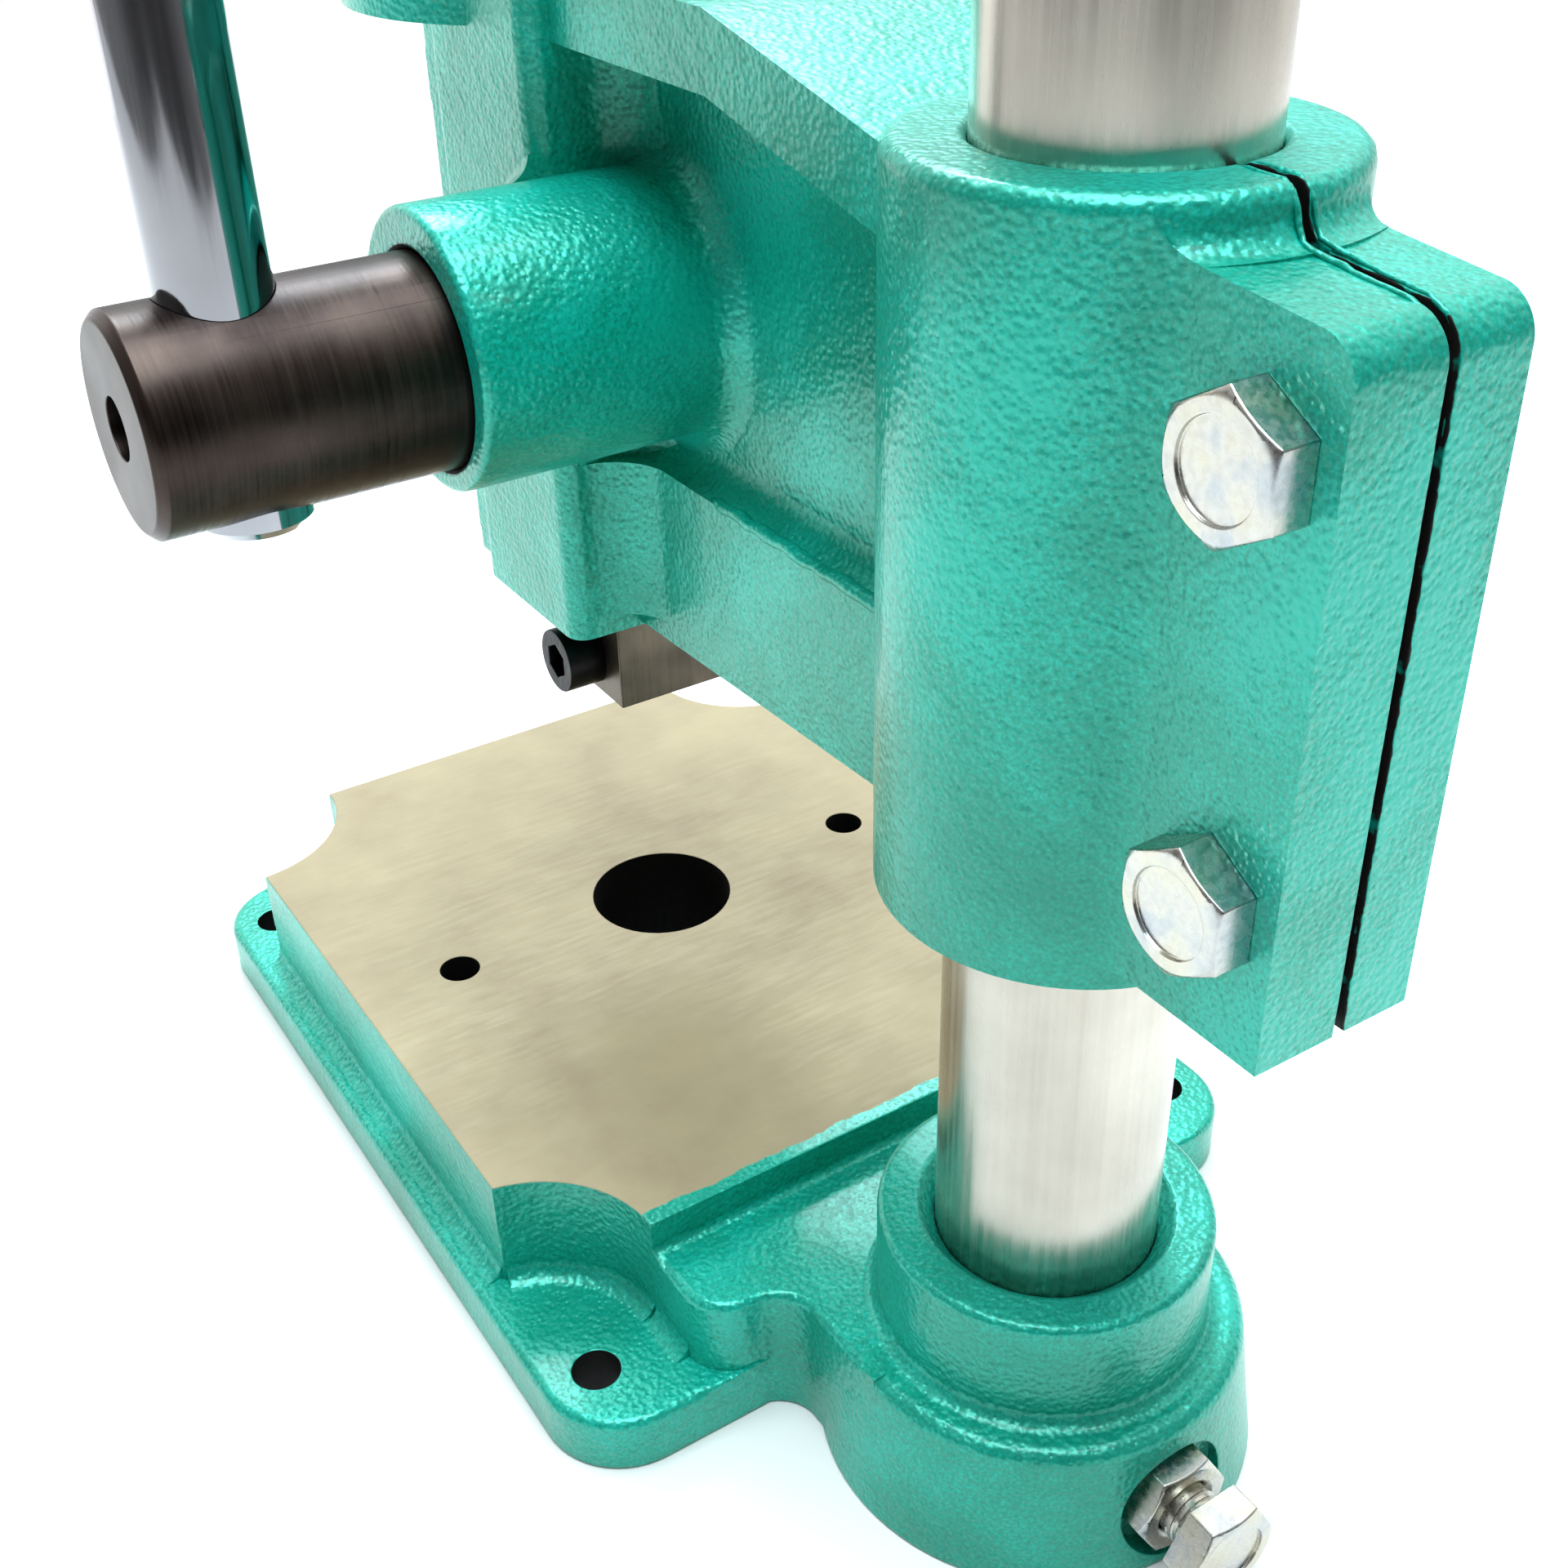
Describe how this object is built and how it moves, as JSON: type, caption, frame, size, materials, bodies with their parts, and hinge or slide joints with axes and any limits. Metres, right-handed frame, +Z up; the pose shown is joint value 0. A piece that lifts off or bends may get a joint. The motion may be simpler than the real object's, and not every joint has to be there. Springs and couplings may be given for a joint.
{
  "type": "lever hole punch",
  "caption": "Bench lever hole punch: a square ram fed by a rack and pinion in a cast head that clamps on a round column above a flanged table.",
  "frame": {"origin": "where the die hole's axis meets the bench plane", "axes": "+Z up along the die hole and the ram, +Y from the ram towards the column, +X towards the lever"},
  "size_m": [0.181, 0.2775, 0.4182],
  "materials": {
    "teal_paint": "hammered teal enamel on cast iron",
    "chrome": "ground and chromed bar",
    "zinc": "bright zinc plate",
    "oiled_steel": "turned steel with a dark oil finish",
    "plain_steel": "plain machined steel",
    "black_screw": "black oxide",
    "black_plastic": "glossy phenolic"
  },
  "bodies": {
    "base": {"base_casting": "teal_paint", "column_set_bolt": "zinc", "column_lock_nut": "zinc"},
    "column": {"column": "chrome"},
    "head": {"head_casting": "teal_paint", "clamp_bolts": "zinc", "front_cover": "teal_paint", "cover_screws": "black_screw", "gib_strip": "plain_steel", "gib_screws": "black_screw", "gib_lock_nuts": "zinc", "spring_cup": "plain_steel", "cup_screws": "zinc", "return_spring": "plain_steel", "stop_plate": "teal_paint", "stop_plate_screws": "black_screw"},
    "shaft": {"pinion_shaft": "oiled_steel", "shaft_nuts": "zinc", "lever_grub_screw": "black_screw"},
    "lever": {"lever_rod": "chrome", "lever_knob": "black_plastic"},
    "ram": {"ram": "oiled_steel", "tool_clamp_screw": "black_screw", "stop_rod": "plain_steel"},
    "stop": {"stop_nut": "zinc", "stop_lock_nut": "zinc"}
  },
  "joints": [
    {"name": "head_swing", "type": "hinge", "parent": "base", "child": "column", "pos_m": [0, 0.135, 0], "axis": [0, 0, 1], "range_deg": [-90, 90]},
    {"name": "head_height", "type": "slide", "parent": "column", "child": "head", "axis": [0, 0, 1], "range_m": [-0.018, 0.06]},
    {"name": "lever_turn", "type": "hinge", "parent": "head", "child": "shaft", "pos_m": [0, 0.0267, 0.1795], "axis": [1, 0, 0], "range_deg": [0, 132], "stiffness_Nm_per_rad": 0.3, "springref_deg": -57.3},
    {"name": "ram_feed", "type": "slide", "parent": "head", "child": "ram", "axis": [0, 0, -1], "range_m": [0, 0.037]},
    {"name": "lever_reach", "type": "slide", "parent": "shaft", "child": "lever", "axis": [0, -0.0419, 0.9991], "range_m": [-0.09, 0.003]},
    {"name": "stop_set", "type": "slide", "parent": "ram", "child": "stop", "axis": [0, 0, 1], "range_m": [0, 0.012]}
  ],
  "couplings": [
    {"joint": "ram_feed", "follows": "lever_turn", "m_per_rad": 0.016}
  ]
}
